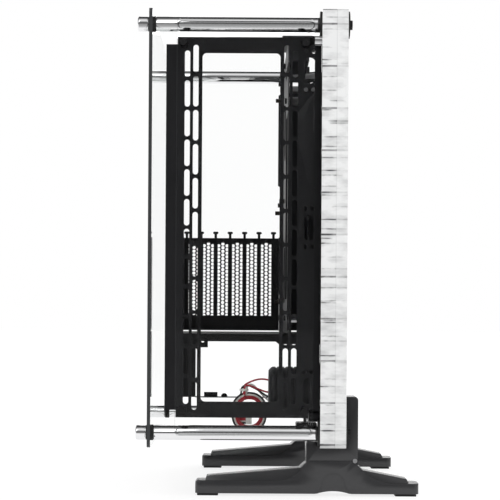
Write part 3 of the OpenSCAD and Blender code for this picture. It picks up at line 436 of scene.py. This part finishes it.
# The steel sheets
# Folded sheet steel with a fine black powder coat, which is lightly grained
# and a little glossier where it is worn.
powder = Finish("black_powder_coat", Specular_IOR_Level=0.18)
grain = powder.noise(1600.0, 2.0)
cloud = powder.noise(9.0, 3.0)
powder.set(
    Base_Color=powder.blend(cloud, (0.011, 0.011, 0.012), (0.016, 0.016, 0.018)),
    Roughness=0.36 + cloud * 0.16,
    Normal=powder.bump(grain, 0.00008, 0.45),
)
for sheet in ("radiator_bracket", "rear_bracket", "psu_shelf", "motherboard_tray"):
    softened(sheet, powder, 0.25 * MM, 1)
dress(powder, "slot_frame")
dress(powder, *[f"slot_cover_{number}" for number in range(1, 7)])
blackened = Finish("blackened_brass", Base_Color=(0.06, 0.052, 0.045), Metallic=1.0)
blackened.set(Roughness=0.3 + blackened.noise(400.0) * 0.15)
dress(blackened, "board_standoffs")

# The feet
# Glass-filled nylon mouldings in dark grey, satin, with a small radius on
# every edge that catches the light.
nylon = Finish("grey_nylon", Specular_IOR_Level=0.5)
satin = nylon.noise(1300.0, 3.0)
shade = nylon.noise(14.0, 2.0)
nylon.set(
    Base_Color=nylon.blend(shade, (0.028, 0.028, 0.03), (0.04, 0.04, 0.042)),
    Roughness=0.18 + shade * 0.1,
    Normal=nylon.bump(satin, 0.00004, 0.3),
)
for foot in ("foot_near", "foot_far"):
    softened(foot, nylon, 0.9 * MM)

# The pump and the top connector module
# Black moulded housings: a ribbed pump body under its clamp ring, and the
# module whose bezel lies over the bracket's upper edge.
black_moulding = Finish("black_moulding", Base_Color=(0.016, 0.016, 0.018))
fine = black_moulding.noise(1200.0, 3.0)
black_moulding.set(
    Roughness=0.38 + fine * 0.15,
    Specular_IOR_Level=0.3,
    Normal=black_moulding.bump(fine, 0.00005, 0.4),
)
for moulding in ("pump_housing", "pump_ring", "io_bezel"):
    softened(moulding, black_moulding, 0.35 * MM)
dress(
    black_moulding, "io_housing", "side_glass_spacers", "power_button", "reset_button"
)


# The wires' tie and plug
# White nylon: a cord wound twice round the four wires, with its short knot
# towards the fan bracket, and the plug in which the wires end.
def flecked(name, colour, rough):
    """A plastic whose colour is a little uneven."""
    finish = Finish(name, Roughness=rough)
    fleck = finish.noise(300.0, 2.0)
    pale = [min(1.0, part * 1.25 + 0.01) for part in colour]
    finish.set(Base_Color=finish.blend(fleck, colour, pale))
    return finish


white_nylon = flecked("white_nylon", (0.78, 0.77, 0.73), 0.45)
dress(white_nylon, "lead_connector")
tie_x, tie_y = bay_x + 5.2 * MM, -160.1 * MM
tie_parts = []
for loop_z in (121.7 * MM, 122.9 * MM):
    bpy.ops.mesh.primitive_torus_add(
        major_radius=5.0 * MM,
        minor_radius=0.55 * MM,
        major_segments=48,
        minor_segments=12,
        location=(tie_x, tie_y, loop_z),
    )
    bpy.context.object.scale = (1.0, 0.88, 1.0)
    tie_parts.append(bpy.context.object)
bpy.ops.mesh.primitive_cylinder_add(
    vertices=20,
    radius=0.9 * MM,
    depth=3.2 * MM,
    location=(tie_x - 0.6 * MM, tie_y - 4.6 * MM, 122.4 * MM),
)
tie_parts.append(bpy.context.object)
for part in tie_parts:
    part.select_set(True)
bpy.context.view_layer.objects.active = tie_parts[0]
bpy.ops.object.join()
bpy.ops.object.transform_apply(location=True, rotation=True, scale=True)
tie = bpy.context.object
tie.name = "tie_loops"
tie_edges = tie.modifiers.new("soft ends", "BEVEL")
tie_edges.width = 0.25 * MM
tie_edges.limit_method = "ANGLE"
tie_edges.angle_limit = math.radians(60)
bpy.ops.object.modifier_apply(modifier=tie_edges.name)
bpy.ops.object.shade_smooth_by_angle(angle=math.radians(40))
tie.data.materials.append(white_nylon.material)
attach(tie, "root")
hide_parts("lead_tie")

# The pump's leads
# Four insulated wires leave the pump's end, pass through the tie and lie in an
# oval coil of a little over two turns, which ends in the plug. Their places are
# in mm, with X from the middle of the bay.
wire_d = 2.2 * MM
neck_z = 124.5
coil_left, coil_right, coil_low, coil_high = 10.5, 12.5, 92.0, 100.0
coil_r = 20.0
coil_near_y, coil_step_y = -163.2, 2.8
coil_turns = 2.25
points_per_turn = 20
last_bend_x, last_bend_z = 1.3, 92.6
plug_x, plug_y = 7.5, -160.0


def coil_point(inset, turn):
    """A point of the oval coil, turned from its top towards the glass."""
    across = math.sin(2 * math.pi * turn)
    up = math.cos(2 * math.pi * turn)
    side = max(-1.0, min(1.0, 4 * across))
    lift = max(-1.0, min(1.0, 4 * up))
    middle_x = (coil_left + coil_right) / 2 - side * (coil_right - coil_left) / 2
    middle_z = (coil_low + coil_high) / 2 + lift * (coil_high - coil_low) / 2
    radius = coil_r - inset
    return (
        middle_x - radius * across,
        coil_near_y + coil_step_y * turn,
        middle_z + radius * up,
    )


def lead(node, finish, slot, route, inset, first_turn, bend_r, *replaced):
    """One wire: its route to the tie, its turns, and its end in the plug."""
    places = list(route)
    start = coil_point(inset, first_turn)
    last = places[-1]
    for share, drop in ((0.04, 0.36), (0.3, 0.72)):
        places.append(
            (
                last[0] + (start[0] - last[0]) * share,
                last[1] + (start[1] - last[1]) * (drop + 0.1),
                last[2] + (start[2] - last[2]) * drop,
            )
        )
    wound = coil_turns - first_turn
    steps = int(wound * points_per_turn)
    for step in range(steps + 1):
        places.append(coil_point(inset, first_turn + wound * step / steps))
    end_y = places[-1][1]
    for angle in (15, 40, 65, 90):
        share = angle / 90
        places.append(
            (
                last_bend_x - bend_r * math.cos(math.radians(angle)),
                end_y + (plug_y - end_y) * share * 0.6,
                last_bend_z - bend_r * math.sin(math.radians(angle)),
            )
        )
    places.append((plug_x - 2.5, plug_y - 0.2, last_bend_z - bend_r))
    places.append((plug_x + 0.5, plug_y, last_bend_z - bend_r))
    line = bpy.data.curves.new(node + "_wire", "CURVE")
    line.dimensions = "3D"
    line.bevel_depth = wire_d / 2
    line.bevel_resolution = 3
    line.resolution_u = 4
    line.use_fill_caps = True
    spline = line.splines.new("BEZIER")
    spline.bezier_points.add(len(places) - 1)
    for point, (x, y, z) in zip(spline.bezier_points, places):
        point.co = (bay_x + x * MM, y * MM, z * MM)
        point.handle_left_type = point.handle_right_type = "AUTO"
    wire = bpy.data.objects.new(node + "_wire", line)
    bpy.context.scene.collection.objects.link(wire)
    line.materials.append(finish.material)
    bpy.context.view_layer.update()
    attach(wire, "root")
    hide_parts(node, *replaced)


red_route = [(34, -157, 134), (30, -157, 134.8), (25, -157, 135), (19, -157.2, 134),
             (13, -157.4, 131.8), (8.6, -157.6, 129.6), (5.8, -157.6, 127.4),
             (5, -157.6, neck_z)]
red_lower_route = [(34, -163, 119.8), (29, -163, 121), (24, -163, 122.8),
                   (18.5, -163, 125), (13, -163, 127), (9.2, -163, 127.8),
                   (7, -162.9, 126.9), (6.2, -162.8, neck_z)]
black_route = [(34, -160.1, 114.6), (30, -160.1, 116.6), (25.6, -160.1, 119.6),
               (21, -160.1, 122.6), (15.5, -160.1, 125.4), (10.5, -160.1, 127.3),
               (6.2, -160.4, 127.3), (3.2, -161.1, 125.4), (2.1, -161.6, 122.8)]
white_route = [(34, -157.4, 110), (30, -157.4, 113.5), (26, -157.4, 117.6),
               (22, -157.4, 122), (18.6, -157.4, 125.6), (15.6, -157.4, 128.2),
               (13.3, -157.4, 128.8), (11, -157.4, 128.2), (9.3, -157.4, 126.5),
               (8.7, -157.4, 124.2)]
red_cover = flecked("red_insulation", (0.42, 0.018, 0.03), 0.32)
black_cover = flecked("black_insulation", (0.012, 0.012, 0.013), 0.35)
white_cover = flecked("white_insulation", (0.72, 0.7, 0.66), 0.4)
lead(
    "lead_black", black_cover, "black_wire", black_route, 1.2, 0.105, 9.3, "lead_hank"
)
lead("lead_red", red_cover, "red_wire", red_route, 5.6, 0.083, 5.4)
lead("lead_red_lower", red_cover, "red_wire", red_lower_route, 7.8, 0.079, 3.5)
lead("lead_white", white_cover, "white_wire", white_route, 3.4, 0.057, 7.4)

# The floor
# A plain white sheet of paper, which keeps the soft shadow of the case. Seen
# straight or through glass it is white; in a mirror it darkens towards the camera.
bpy.ops.mesh.primitive_plane_add(size=40, location=(0, 0, 0))
floor = bpy.context.object
floor.name = "floor"
paper = Finish("white_floor", Roughness=0.9)
seen, mirrored, soft = paper.seen_by()
along = paper.split(paper.add("ShaderNodeNewGeometry", {}, {}, "Position"))[1]
darkest_y, fade_length = -2.9, 2.8
fall_off = paper.ramp(
    [(0.0, 0.06), (0.45, 0.1), (0.7, 0.2), (0.82, 0.42), (0.91, 1.0), (1.0, 1.0)],
    (along - darkest_y) / fade_length,
)
white = seen + mirrored * fall_off
paper.set(Base_Color=paper.blend(soft, (0.24, 0.24, 0.24), (0.8, 0.8, 0.8)))
glowing = paper.add(
    "ShaderNodeEmission", {}, {"Color": (1.0, 1.0, 1.0), "Strength": white * 0.8}
)
summed = paper.add(
    "ShaderNodeAddShader", {}, {0: Signal(paper, paper.shader.outputs[0]), 1: glowing}
)
paper.put(paper.output.inputs["Surface"], summed)
floor.data.materials.append(paper.material)

# The studio round the case
# Polished metal mirrors a white backdrop behind the case, a broad light high over
# the camera and a dark room elsewhere. Seen straight the studio is white, and it
# lights the case softly from all round.
world = bpy.data.worlds.new("studio")
bpy.context.scene.world = world
world.use_nodes = True
studio = Shading(world.node_tree)
backdrop = world.node_tree.nodes["Background"]
_, to_back, upward = studio.split(
    studio.add("ShaderNodeTexCoord", {}, {}, "Generated")
)
turned_up = studio.maths("ARCTAN2", upward, to_back * -1.0)
degrees = [-180, 0, 11, 17, 24, 38, 50, 62, 70, 84, 100, 132, 150, 180]
levels = [1.0, 0.1, 0.1, 0.16, 0.38, 0.7, 1.0, 0.75, 0.5, 0.12, 0.05, 0.05, 1.0, 1.0]
bands = studio.ramp(
    [(angle / 360 + 0.5, level) for angle, level in zip(degrees, levels)],
    turned_up / (2 * math.pi) + 0.5,
)
seen, mirrored, soft = studio.seen_by()
soft_level = 0.85
studio.put(backdrop.inputs["Color"], (1.0, 1.0, 1.0))
strength = seen + mirrored * bands + soft * soft_level
studio.put(backdrop.inputs["Strength"], strength)


# The lamps
# Three soft boxes at a plain level, which all point at the middle of the case:
# the key over the camera's left, a fill at its right, and one from behind.
def softbox(name, place, size, watts):
    bpy.ops.object.light_add(type="AREA", location=place)
    lamp = bpy.context.object
    lamp.name = name
    lamp.data.shape = "RECTANGLE"
    lamp.data.size, lamp.data.size_y = size
    lamp.data.energy = watts
    aim = Vector((0.0, 0.0, 0.3)) - Vector(place)
    lamp.rotation_euler = aim.to_track_quat("-Z", "Y").to_euler()


softbox("key_light", (-1.8, -2.4, 1.9), (2.0, 2.0), 20)
softbox("fill_light", (2.2, -1.6, 1.4), (2.0, 2.0), 12)
softbox("rim_light", (0.6, 2.4, 1.7), (2.0, 1.4), 10)
